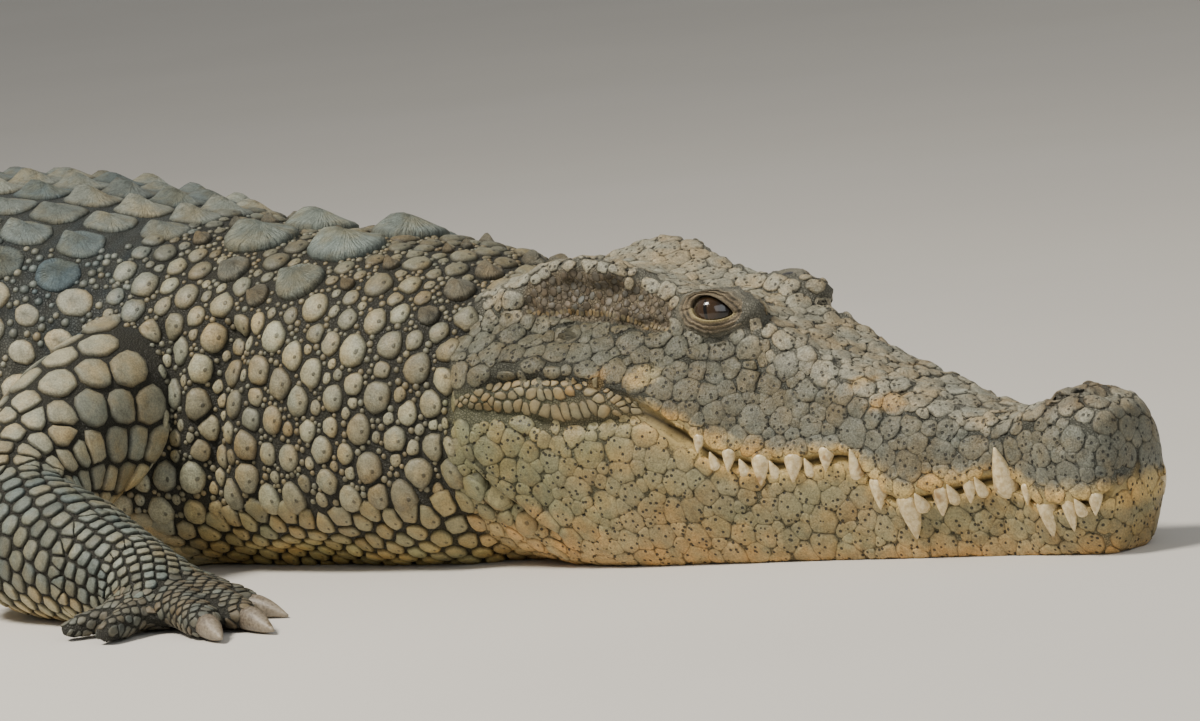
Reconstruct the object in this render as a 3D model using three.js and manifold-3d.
// A Nile crocodile at life size, lying still on its belly with its jaws closed and its right
// hand planted beside the neck. Millimetres, +Z up. The snout points along +X, the animal's
// right side faces -Y, and the origin is the middle of the belly's flat, on the floor.
//
// The animal is modelled whole as a few lofts, and then parted by thin cuts into the parts
// that a person would name. "back" is always the distance behind the snout tip, measured
// along the spine, "out" the distance from the middle plane, and "up" the height.
import * as THREE from "three";
import { mergeVertices } from "three/addons/utils/BufferGeometryUtils.js";
import Module from "manifold-3d";

const wasm = await Module();
wasm.setup();

// ---- driving dimensions --------------------------------------------------------------
const TOTAL_LENGTH = 3600; // snout tip to tail tip, along the spine
const BELLY_CENTRE = 1320; // how far behind the snout tip the origin lies
const CUT = 0.3; // width of the thin cuts between named parts
const FINENESS = 0.12; // corners and edges finer than this are dropped from each finished part
const BELLY_SINK = 12; // how far the belly and throat are pressed flat by the floor
const TAIL_SINK = 5; // the same for the tail

const TAIL_ROOT = 1765; // behind the vent the spine begins to swing
const TAIL_SWING = THREE.MathUtils.degToRad(17); // the most that the tail turns to the left
const TAIL_WAVE = 1.15; // half waves of that swing along the tail

const SCUTE_ROWS = 16; // cross rows of keeled scutes on the back
const SCUTE_START = 885; // front edge of the first row
const SCUTE_PITCH = (TAIL_ROOT - SCUTE_START) / SCUTE_ROWS;
const SCUTE_KEEL = 9; // height of a keel on the back
const KEEL_PEAK = 0.7; // where along its scute a keel is highest

const DOUBLE_WHORLS = 17; // scute rings of the tail that carry two crests
const SINGLE_WHORLS = 19; // scute rings that carry one
const WHORL_SHRINK = 0.982; // each ring is a little shorter than the one in front
const CREST_HEIGHT = 46; // the tallest crest scute

const NECK_PARTING = 574; // head to neck, above the jowl
const CHEST_PARTING = 874;
const TRUNK_PARTING = 1085;
const HIP_PARTING = 1555;
const TAIL_PARTINGS = [TAIL_ROOT, 2080, 2400, 2740, 3120];

const EYE = { back: 350, out: 48, up: 197, radius: 20 };
const LID = { radii: [42, 20, 18], inside: 7, turn: 0.14 }; // the dome of the lids over each eye
const NOSE = { back: 50, up: 112, radii: [36, 30, 16] }; // the pad round the nostrils

// ---- outlines ------------------------------------------------------------------------
// A smooth curve through [distance, size] pairs, with each slope taken from its neighbours.
function curve(...pairs) {
  const slope = (i) => {
    const a = pairs[Math.max(i - 1, 0)];
    const b = pairs[Math.min(i + 1, pairs.length - 1)];
    return (b[1] - a[1]) / (b[0] - a[0]);
  };
  return (at) => {
    const last = pairs.length - 1;
    if (at <= pairs[0][0]) return pairs[0][1];
    if (at >= pairs[last][0]) return pairs[last][1];
    const i = pairs.findIndex((p) => p[0] > at) - 1;
    const span = pairs[i + 1][0] - pairs[i][0];
    const u = (at - pairs[i][0]) / span;
    const rise = pairs[i + 1][1] - pairs[i][1];
    const a = slope(i) * span - rise;
    const b = rise - slope(i + 1) * span;
    return pairs[i][1] + u * rise + u * (1 - u) * (a * (1 - u) + b * u);
  };
}

// The head's cross section passes through eight knots a side, from the keel of the chin to
// the middle of the crown. Each knot has one outline for its half width and one for height.
const HEAD_END = 590;
const TIP = { radius: 32, up: 72, squareness: 3.4 }; // rounding of the snout tip about its height
const MOUTH_LINE = [[-20, 42], [30, 43], [60, 42], [82, 53], [106, 60], [140, 54], [180, 49],
  [204, 58], [222, 76], [240, 83], [275, 79], [330, 86], [356, 103], [392, 126], [430, 137],
  [500, 143], [580, 149]];
const MOUTH = curve(...MOUTH_LINE);
const HEAD_KNOTS = [
  { out: () => 0, up: () => -BELLY_SINK / 2 },
  { // lower edge of the jaw
    out: curve([0, 24], [60, 28], [114, 32], [200, 44], [290, 56], [375, 72], [470, 88], [590, 84]),
    up: curve([0, -2], [400, -2], [480, 5], [540, 16], [590, 20]),
  },
  { // side of the jaw
    out: curve([0, 42], [60, 44], [95, 38], [140, 47], [190, 55], [230, 58], [300, 75],
      [350, 92], [420, 111], [500, 127], [566, 134], [590, 122]),
    up: curve([0, 24], [200, 28], [300, 40], [400, 62], [500, 84], [590, 92]),
  },
  { // lip
    out: curve([0, 47], [60, 47], [92, 40], [130, 50], [178, 61], [225, 60], [300, 78],
      [350, 94], [420, 112], [500, 127], [566, 135], [590, 122]),
    up: MOUTH,
  },
  { // cheek
    out: curve([0, 49], [50, 50], [90, 43], [130, 50], [178, 62], [225, 60], [300, 74],
      [350, 88], [420, 104], [500, 120], [560, 128], [590, 118]),
    up: curve([0, 72], [110, 82], [200, 96], [300, 116], [400, 150], [480, 168], [590, 172]),
  },
  { // temple
    out: curve([0, 42], [50, 44], [100, 40], [178, 54], [241, 56], [304, 60], [350, 64],
      [420, 66], [480, 70], [540, 88], [590, 98]),
    up: curve([0, 96], [50, 102], [110, 96], [178, 110], [241, 128], [304, 154], [350, 176],
      [420, 192], [500, 200], [590, 196]),
  },
  { // edge of the crown
    out: curve([0, 26], [50, 30], [110, 27], [178, 36], [241, 40], [304, 44], [342, 46],
      [380, 47], [420, 52], [461, 60], [500, 64], [540, 66], [590, 66]),
    up: curve([0, 112], [47, 119], [110, 106], [178, 125], [241, 150], [304, 184], [342, 203],
      [400, 221], [461, 242], [500, 241], [540, 228], [590, 216]),
  },
  { // middle of the crown
    out: () => 0,
    up: curve([0, 114], [47, 121], [110, 108], [178, 128], [241, 153], [304, 183], [342, 198],
      [400, 213], [461, 230], [510, 232], [590, 224]),
  },
];
const HEAD_STATIONS = [0.6, 7, 20, 42, 68, 92, 116, 148, 180, 212, 245, 285, 325, 362, 405,
  455, 510, 566, HEAD_END];
const ROUNDED_AFTER = new Set([1, 3, 6]); // knots followed by an extra point of the section
// the corner of the jaw, where the jowl hangs behind the lower jaw down to the throat
const JOWL = [[566, 150], [566, 118], [545, 80], [510, 44], [470, 14], [440, -30]];

const BODY = {
  half: curve([440, 66], [520, 100], [580, 126], [640, 142], [720, 150], [800, 152], [870, 160],
    [950, 184], [1050, 214], [1150, 237], [1300, 252], [1450, 245], [1560, 222], [1660, 188],
    [1740, 160], [1820, 138], [1950, 116], [2150, 93], [2350, 74], [2600, 53], [2850, 37],
    [3100, 25], [3350, 15], [3520, 9], [3600, 3]),
  top: curve([440, 150], [520, 212], [580, 234], [640, 249], [720, 262], [800, 270], [870, 279],
    [950, 294], [1050, 311], [1150, 321], [1300, 326], [1450, 319], [1560, 305], [1660, 284],
    [1740, 262], [1820, 240], [1950, 215], [2150, 186], [2350, 161], [2600, 134], [2850, 110],
    [3100, 88], [3350, 64], [3520, 42], [3600, 14]),
  widest: 0.4, // height of the widest line, as a share of the top
  squareness: 2.5, // 2 is an ellipse, more is squarer
};
// how high the crests stand: over the back, over the double whorls and over the single ones
const CREST = {
  double: curve([1700, 10], [1800, 16], [2100, 26], [2400, 40], [2560, 44], [2700, 0]),
  single: curve([2560, 0], [2640, CREST_HEIGHT], [2900, CREST_HEIGHT], [3300, 34], [3580, 10]),
};

// ---- building tools ------------------------------------------------------------------
function spine(back) {
  const steps = 40;
  const place = { x: BELLY_CENTRE - Math.min(back, TAIL_ROOT), y: 0, turn: 0 };
  const run = Math.max(back - TAIL_ROOT, 0);
  for (let i = 0; i < steps && run > 0; i++) {
    const share = ((i + 0.5) / steps) * (run / (TOTAL_LENGTH - TAIL_ROOT));
    const turn = TAIL_SWING * Math.sin(Math.PI * TAIL_WAVE * share);
    place.x -= (run / steps) * Math.cos(turn);
    place.y += (run / steps) * Math.sin(turn);
    place.turn = turn;
  }
  return place;
}

// A point of the animal from its distance behind the snout, its offset and its height.
function at(back, out, up) {
  const s = spine(back);
  return new THREE.Vector3(s.x + out * Math.sin(s.turn), s.y + out * Math.cos(s.turn), up);
}

function solidFrom(geometry) {
  const bare = geometry.clone();
  for (const name of ["normal", "uv"]) bare.deleteAttribute(name);
  const merged = mergeVertices(bare, 1e-4);
  return new wasm.Manifold(new wasm.Mesh({
    numProp: 3,
    vertProperties: merged.attributes.position.array,
    triVerts: new Uint32Array(merged.index.array),
  }));
}

// A closed solid through rings of equally many points. Each ring runs counter-clockwise
// seen from its front, and the two end rings are closed by a fan. The two halves of a ring
// have mirrored facets, so a symmetrical outline gives a symmetrical solid. What would reach
// below the floor is pressed flat on it.
function loft(rings) {
  const sides = rings[0].length;
  const points = rings.flat();
  for (const point of points) point.z = Math.max(point.z, 0);
  const middle = (ring) => ring.reduce((sum, p) => sum.add(p), new THREE.Vector3())
    .divideScalar(sides);
  const front = points.push(middle(rings[0])) - 1;
  const rear = points.push(middle(rings[rings.length - 1])) - 1;
  const faces = [];
  for (let k = 0; k < sides; k++) {
    const next = (k + 1) % sides;
    faces.push(front, k, next);
    for (let r = 0; r + 1 < rings.length; r++) {
      const a = r * sides;
      const b = a + sides;
      if (k < sides / 2) faces.push(a + k, b + k, a + next, a + next, b + k, b + next);
      else faces.push(a + k, b + k, b + next, a + k, b + next, a + next);
    }
    const last = (rings.length - 1) * sides;
    faces.push(rear, last + next, last + k);
  }
  const geometry = new THREE.BufferGeometry().setFromPoints(points).setIndex(faces);
  return solidFrom(geometry);
}

// A tube of oval rings along a smooth path. Each stop is [back, out, up, half width, half height].
function limb(stops, sides, steps, side) {
  const path = new THREE.CatmullRomCurve3(
    stops.map(([back, out, up]) => at(back, side * out, up)), false, "centripetal");
  const share = (i) => i / (stops.length - 1);
  const wide = curve(...stops.map((s, i) => [share(i), s[3]]));
  const deep = curve(...stops.map((s, i) => [share(i), s[4]]));
  const rings = [];
  for (let i = 0; i <= steps; i++) {
    const u = i / steps;
    const along = path.getTangent(u);
    const across = new THREE.Vector3(0, 0, 1).cross(along).normalize();
    const above = along.clone().cross(across);
    const ring = [];
    for (let k = 0; k < sides; k++) {
      const angle = (2 * Math.PI * (k + 0.5)) / sides;
      ring.push(path.getPoint(u)
        .addScaledVector(across, -wide(u) * Math.cos(angle))
        .addScaledVector(above, deep(u) * Math.sin(angle)));
    }
    rings.push(ring);
  }
  return loft(rings);
}

const BALL_SIDES = 10;

function ball(centre, radii, turn = 0) {
  const geometry = new THREE.SphereGeometry(1, BALL_SIDES, BALL_SIDES / 2);
  geometry.scale(...radii).rotateZ(turn).translate(centre.x, centre.y, centre.z);
  return solidFrom(geometry);
}

// A flat slab of the cut's width through a point, square to a direction.
function slab(point, direction, reach) {
  const geometry = new THREE.BoxGeometry(CUT, reach, reach);
  const turn = new THREE.Quaternion().setFromUnitVectors(
    new THREE.Vector3(1, 0, 0), direction.clone().normalize());
  geometry.applyQuaternion(turn).translate(point.x, point.y, point.z);
  return solidFrom(geometry);
}

// A thin curtain that hangs across the animal along a line in its side view.
function curtain(line, reach) {
  const point = ([back, up]) => new THREE.Vector2(BELLY_CENTRE - back, up);
  const upper = line.map(point);
  const normals = upper.map((p, i) => {
    const a = upper[Math.max(i - 1, 0)];
    const b = upper[Math.min(i + 1, upper.length - 1)];
    return new THREE.Vector2(a.y - b.y, b.x - a.x).normalize().multiplyScalar(CUT / 2);
  });
  const outline = [
    ...upper.map((p, i) => p.clone().add(normals[i])),
    ...upper.map((p, i) => p.clone().sub(normals[i])).reverse(),
  ];
  const geometry = new THREE.ExtrudeGeometry(new THREE.Shape(outline),
    { depth: 2 * reach, bevelEnabled: false });
  geometry.translate(0, 0, -reach).rotateX(Math.PI / 2);
  return solidFrom(geometry);
}

// ---- head ----------------------------------------------------------------------------
function tipRounding(back) {
  const ahead = 1 - Math.min(back, TIP.radius) / TIP.radius;
  return (1 - ahead ** TIP.squareness) ** (1 / TIP.squareness);
}

function headRing(back) {
  const round = tipRounding(back);
  const half = HEAD_KNOTS.map((knot) => [
    knot.out(back) * round,
    TIP.up + (knot.up(back) - TIP.up) * round,
  ]);
  const right = [];
  half.forEach(([out, up], i) => {
    right.push([out, up]);
    if (!ROUNDED_AFTER.has(i)) return;
    const [p0, p1, p2, p3] = [-1, 0, 1, 2].map((j) => {
      const k = i + j;
      if (k < 0) return [-half[1][0], half[1][1]];
      if (k >= half.length) return [-half[half.length - 2][0], half[half.length - 2][1]];
      return half[k];
    });
    right.push([0, 1].map((a) => (9 * (p1[a] + p2[a]) - p0[a] - p3[a]) / 16));
  });
  const left = right.slice(1, -1).reverse().map(([out, up]) => [-out, up]);
  return [...right, ...left].map(([out, up]) => at(back, out, up));
}

// A tooth grows from inside the lip and lies against the other jaw. Its place comes from
// the lip outline, and length is how far its tip reaches past the mouth line.
function tooth(side, back, length, width, points, grow = 0) {
  const lip = HEAD_KNOTS[3].out(back) * tipRounding(back);
  const mouth = MOUTH(back);
  const half = width / 2 + grow;
  const long = length > LONG_TOOTH;
  const proud = long ? 2 : width / 2 + 1; // how far the tooth's middle stands outside the lip
  const root = 5; // how deep its root reaches past the mouth line
  const stops = [[-root, half, 0], [length * 0.55, half * 0.75, proud],
    [length + grow, 0.6 + grow, proud - 1]];
  const sides = long ? 5 : 4;
  const rings = stops.map(([reach, radius, shift]) => {
    const ring = [];
    for (let k = 0; k < sides; k++) {
      const angle = (points * 2 * Math.PI * k) / sides;
      ring.push(at(back + radius * Math.cos(angle), side * (lip + shift) + radius * Math.sin(angle),
        mouth + points * reach));
    }
    return ring;
  });
  return loft(rings);
}

const LONG_TOOTH = 17; // longer teeth are rounder cones, sunk in grooves of the other jaw
// [back, length, width] of the larger teeth that show, front to rear
const UPPER_TEETH = [[14, 12, 8], [36, 20, 10], [58, 24, 12], [126, 14, 9], [150, 18, 11],
  [178, 30, 16], [204, 18, 12], [248, 12, 9], [276, 16, 11], [302, 18, 12], [326, 12, 8]];
const LOWER_TEETH = [[98, 30, 14], [222, 18, 9]];

function teeth(table, points, grow, shortest = 0) {
  const made = [];
  for (const side of [-1, 1])
    for (const [back, length, width] of table)
      if (length > shortest) made.push(tooth(side, back, length, width, points, grow));
  return wasm.Manifold.union(made);
}

// ---- neck, trunk and tail ------------------------------------------------------------
// shares of the half width across the back: valleys between scutes, and keels on them
const BACK_LINES = [0.62, 0.46, 0.3, 0.14, 0];
const KEEL_LINES = new Set([0.46, 0.14]);
const FLANK_ANGLES = [24, -8, -50, -76]; // degrees above the widest line
const TAIL_LINES = [0.62, 0.3, 0];
const TAIL_ANGLES = [0, -76];

function bodyPoint(back, cosine, sine, sink, grow) {
  const half = BODY.half(back) + grow;
  const top = BODY.top(back) + grow;
  const waist = top * BODY.widest;
  const power = 2 / BODY.squareness;
  const out = half * Math.sign(cosine) * Math.abs(cosine) ** power;
  const reach = sine > 0 ? top - waist : waist + sink;
  return [out, waist + reach * Math.sign(sine) * Math.abs(sine) ** power];
}

function bodyRing(back, lines, angles, sink, raise, grow) {
  const half = [];
  half.push(bodyPoint(back, 0, -1, sink, grow));
  for (const degrees of [...angles].reverse()) {
    const angle = THREE.MathUtils.degToRad(degrees);
    half.push(bodyPoint(back, Math.cos(angle), Math.sin(angle), sink, grow));
  }
  for (const share of lines) {
    const cosine = share ** (BODY.squareness / 2);
    const point = bodyPoint(back, cosine, Math.sqrt(1 - cosine ** 2), sink, grow);
    half.push([point[0], point[1] + raise(share)]);
  }
  const left = half.slice(1, -1).reverse().map(([out, up]) => [-out, up]);
  return [...half, ...left].map(([out, up]) => at(back, out, up));
}

function trunkSolid(grow = 0) {
  const rings = [];
  const ring = (back, keel) => rings.push(bodyRing(back, BACK_LINES, FLANK_ANGLES, BELLY_SINK,
    (share) => (KEEL_LINES.has(share) ? keel : 0), grow));
  for (const back of [440, 520, 575, 625]) ring(back, 0);
  for (const [front, keel] of [[690, 8], [782, 10]]) {
    ring(front, 1); // the two rows of large neck scutes
    ring(front + 60, keel);
  }
  for (let row = 0; row < SCUTE_ROWS; row++) {
    const front = SCUTE_START + row * SCUTE_PITCH;
    ring(front, 1);
    ring(front + KEEL_PEAK * SCUTE_PITCH, SCUTE_KEEL);
  }
  ring(TAIL_ROOT + 20, 1);
  return loft(rings);
}

function tailSolid() {
  const rings = [];
  const ring = (back, share) => {
    const pair = CREST.double(back) * share;
    const fin = CREST.single(back) * share;
    const raise = (line) => (line === 0 ? fin : line === 0.3 ? pair : 0);
    rings.push(bodyRing(back, TAIL_LINES, TAIL_ANGLES, TAIL_SINK, raise, 0));
  };
  const whorls = DOUBLE_WHORLS + SINGLE_WHORLS;
  let pitch = ((TOTAL_LENGTH - TAIL_ROOT) * (1 - WHORL_SHRINK)) / (1 - WHORL_SHRINK ** whorls);
  let front = TAIL_ROOT;
  for (let row = 0; row < whorls; row++) {
    ring(front, 0.25);
    ring(front + KEEL_PEAK * pitch, 1);
    front += pitch;
    pitch *= WHORL_SHRINK;
  }
  ring(TOTAL_LENGTH, 0);
  return loft(rings);
}

// ---- legs ----------------------------------------------------------------------------
// Stops are [back, out, up, half width, half height] along each length of the leg.
const FORELEG = {
  names: ["upper_arm", "forearm", "hand"],
  stops: [[902, 90, 160, 60, 72], [912, 205, 128, 58, 66], [896, 292, 72, 56, 62],
    [800, 322, 48, 50, 52], [728, 336, 34, 38, 36], [690, 340, 22, 42, 24]],
  middles: [[905, 220, 110], [805, 320, 55], [650, 360, 20]],
  cuts: [
    { place: [884, 292, 78], direction: [0.58, 0.69, -0.43], reach: 300 },
    { place: [724, 336, 38], direction: [0.886, 0.463, 0], reach: 130 },
  ],
  palm: [[722, 337, 30, 36, 26], [696, 341, 20, 46, 22], [668, 345, 12, 44, 15]],
  // [knuckle, tip, half width at the knuckle, claw length or 0]
  digits: [
    [[698, 308, 22], [636, 308, 9], 19, 34],
    [[686, 326, 24], [590, 364, 9], 20, 36],
    [[682, 350, 22], [604, 398, 9], 20, 32],
    [[696, 364, 20], [690, 428, 6], 16, 0],
    [[706, 366, 20], [748, 412, 6], 15, 0],
  ],
};
const HIND_LEG = {
  names: ["thigh", "shank", "foot"],
  stops: [[1700, 80, 150, 84, 84], [1650, 205, 138, 78, 80], [1572, 300, 90, 62, 66],
    [1640, 346, 52, 50, 52], [1722, 372, 32, 36, 34], [1716, 398, 22, 34, 24]],
  middles: [[1640, 210, 130], [1650, 345, 60], [1640, 440, 15]],
  cuts: [
    { place: [1606, 312, 84], direction: [-0.3, 0.95, -0.25], reach: 320 },
    { place: [1712, 390, 34], direction: [0, 1, -0.3], reach: 220 },
  ],
  palm: [[1724, 382, 26, 32, 26], [1694, 418, 17, 38, 19], [1656, 448, 10, 44, 13]],
  digits: [
    [[1678, 420, 16], [1596, 408, 9], 17, 34],
    [[1664, 438, 16], [1556, 452, 9], 18, 36],
    [[1656, 458, 15], [1558, 506, 9], 17, 34],
    [[1664, 472, 14], [1592, 540, 6], 14, 0],
  ],
  web: true,
};

const TOE_TIP = 0.5; // half width of a toe's tip, as a share of its knuckle's

function digitSolid([knuckle, tip, half], side) {
  const between = (u) => knuckle.map((v, i) => v + (tip[i] - v) * u);
  return limb([
    [...between(-0.25), half * 0.9, half * 0.7],
    [...between(0.45), half, half * 0.8],
    [...between(1), half * TOE_TIP, half * TOE_TIP],
  ], 5, 2, side);
}

// A claw carries on from the flat end of its toe, across a thin cut.
function clawSolid([knuckle, tip, half, length], side) {
  const run = Math.hypot(...tip.map((v, i) => v - knuckle[i]));
  const beyond = (reach) => tip.map((v, i) => v + ((v - knuckle[i]) / run) * reach);
  const root = half * TOE_TIP;
  return limb([
    [...beyond(CUT), root, root],
    [...beyond(length * 0.5), root * 0.85, root * 0.85],
    [...beyond(length), root * 0.16, root * 0.16],
  ], 5, 2, side);
}

// The thin skin between two neighbouring toes.
function webSolid(a, b, side) {
  const along = (digit, u) => digit[0].map((v, i) => v + (digit[1][i] - v) * u);
  const corners = [along(a, 0), along(a, 0.7), along(b, 0.7), along(b, 0)];
  const sheet = (height) => corners.map(([back, out]) => at(back, side * out, height));
  return side > 0 ? loft([sheet(12), sheet(5)]) : loft([sheet(5), sheet(12)]);
}

// ---- assembly ------------------------------------------------------------------------
const COLOURS = {
  crown: ["#6f7268", 0.62],
  jaw: ["#9a9a78", 0.6],
  neck: ["#a3a385", 0.65],
  back: ["#6d7a78", 0.62],
  tail: ["#6f776c", 0.66],
  limb: ["#7c8480", 0.64],
  eye: ["#4a3a22", 0.12],
  claw: ["#77756c", 0.4],
};

function meshOf(name, solid, finish) {
  const { numProp, vertProperties, triVerts } = solid.simplify(FINENESS).getMesh();
  const positions = new Float32Array((vertProperties.length / numProp) * 3);
  for (let i = 0; i < positions.length / 3; i++)
    positions.set(vertProperties.subarray(i * numProp, i * numProp + 3), i * 3);
  const geometry = new THREE.BufferGeometry()
    .setAttribute("position", new THREE.BufferAttribute(positions, 3))
    .setIndex(new THREE.BufferAttribute(triVerts, 1));
  const [colour, roughness] = COLOURS[finish];
  const mesh = new THREE.Mesh(geometry,
    new THREE.MeshStandardMaterial({ color: colour, roughness, metalness: 0 }));
  mesh.name = name;
  return mesh;
}

// The pieces of a parted solid, each under the name whose place is nearest to its middle.
function named(solid, places) {
  const pieces = solid.decompose().map((piece) => {
    const { min, max } = piece.boundingBox();
    return { piece, middle: new THREE.Vector3(...min).add(new THREE.Vector3(...max)).divideScalar(2) };
  });
  return Object.fromEntries(Object.entries(places).map(([name, place]) => {
    const found = pieces.reduce((best, next) =>
      next.middle.distanceTo(place) < best.middle.distanceTo(place) ? next : best);
    return [name, found.piece];
  }));
}

const headLoft = loft(HEAD_STATIONS.map(headRing));
const lidDomes = [-1, 1].map((side) => ball(at(EYE.back, side * (EYE.out - LID.inside), EYE.up),
  LID.radii, side * LID.turn));
const nosePad = ball(at(NOSE.back, 0, NOSE.up), NOSE.radii);
const whole = wasm.Manifold.union([headLoft, trunkSolid(), nosePad, ...lidDomes]);

const across = new THREE.Vector3(1, 0, 0);
const bodyCuts = [CHEST_PARTING, TRUNK_PARTING, HIP_PARTING]
  .map((back) => slab(at(back, 0, 150), across, 1400));
const rearCut = slab(at(TAIL_ROOT, 0, 150), across, 1400);
const neckCut = curtain([[NECK_PARTING, 400], [NECK_PARTING, 152], ...JOWL], 400);
const beyondTail = solidFrom(new THREE.BoxGeometry(2000, 2000, 1000)
  .translate(BELLY_CENTRE - TAIL_ROOT - 1000, 0, 0));
const parted = whole.subtract(wasm.Manifold.union([
  curtain(MOUTH_LINE, 400), ...bodyCuts, rearCut, neckCut, beyondTail]));
const parts = named(parted, {
  head: at(280, 0, 150),
  lower_jaw: at(280, 0, 70),
  neck: at(680, 0, 130),
  chest: at(980, 0, 150),
  trunk: at(1320, 0, 160),
  hips: at(1660, 0, 140),
});

const tailCuts = TAIL_PARTINGS.map((back) => {
  const { turn } = spine(back);
  return slab(at(back, 0, 100), new THREE.Vector3(Math.cos(turn), -Math.sin(turn), 0), 700);
});
const tailEnds = [...TAIL_PARTINGS, TOTAL_LENGTH];
const tails = named(tailSolid().subtract(wasm.Manifold.union(tailCuts)),
  Object.fromEntries(TAIL_PARTINGS.map((start, i) =>
    [`tail_${i + 1}`, at((start + tailEnds[i + 1]) / 2, 0, 80)])));

parts.head = parts.head.add(teeth(UPPER_TEETH, -1, 0)).subtract(teeth(LOWER_TEETH, 1, CUT));
parts.lower_jaw = parts.lower_jaw.add(teeth(LOWER_TEETH, 1, 0))
  .subtract(teeth(UPPER_TEETH, -1, CUT));

const headGroup = new THREE.Group();
for (const [side, label] of [[-1, "right"], [1, "left"]]) {
  const centre = at(EYE.back, side * EYE.out, EYE.up);
  parts.head = parts.head.subtract(ball(centre, Array(3).fill(EYE.radius + CUT)));
  headGroup.add(meshOf(`eye_${label}`, ball(centre, Array(3).fill(EYE.radius)), "eye"));
}
headGroup.add(meshOf("head", parts.head, "crown"), meshOf("lower_jaw", parts.lower_jaw, "jaw"));

const trunkGroup = new THREE.Group();
for (const [name, finish] of [["neck", "neck"], ["chest", "back"], ["trunk", "back"], ["hips", "back"]])
  trunkGroup.add(meshOf(name, parts[name], finish));
for (const [name, solid] of Object.entries(tails)) trunkGroup.add(meshOf(name, solid, "tail"));

const RIGHT = -1;

// The same piece on the animal's left side, with its faces turned to point outwards again.
function onTheLeft(mesh) {
  const copy = mesh.clone();
  copy.name = mesh.name.replace("_right", "_left");
  copy.geometry = mesh.geometry.clone().scale(1, -1, 1);
  const corners = copy.geometry.index.array;
  for (let i = 0; i < corners.length; i += 3)
    [corners[i], corners[i + 1]] = [corners[i + 1], corners[i]];
  return copy;
}

// One right leg in its three lengths, with its claws set in the tips of the toes.
function legParts(leg, body) {
  const flesh = [limb(leg.stops, 10, 8, RIGHT), limb(leg.palm, 8, 2, RIGHT)];
  for (const digit of leg.digits) flesh.push(digitSolid(digit, RIGHT));
  if (leg.web)
    leg.digits.slice(1).forEach((digit, i) => flesh.push(webSolid(leg.digits[i], digit, RIGHT)));
  const cuts = leg.cuts.map(({ place, direction, reach }) => slab(
    at(place[0], RIGHT * place[1], place[2]),
    new THREE.Vector3(direction[0], RIGHT * direction[1], direction[2]), reach));
  const clawed = leg.digits.filter((digit) => digit[3] > 0);
  const solid = wasm.Manifold.union(flesh)
    .subtract(wasm.Manifold.union([body, ...cuts]));
  const places = Object.fromEntries(leg.names.map((name, i) =>
    [`${name}_right`, at(leg.middles[i][0], RIGHT * leg.middles[i][1], leg.middles[i][2])]));
  const meshes = Object.entries(named(solid, places)).map(([name, part]) =>
    meshOf(name, part, "limb"));
  clawed.forEach((digit, i) => meshes.push(meshOf(`${leg.names[2]}_claw_${i + 1}_right`,
    clawSolid(digit, RIGHT), "claw")));
  return meshes;
}

const legs = new THREE.Group();
const bodyGrown = trunkSolid(CUT);
for (const leg of [FORELEG, HIND_LEG]) {
  const right = legParts(leg, bodyGrown);
  legs.add(...right, ...right.map(onTheLeft));
}

const crocodile = new THREE.Group();
crocodile.add(headGroup, trunkGroup, legs);
export default crocodile;
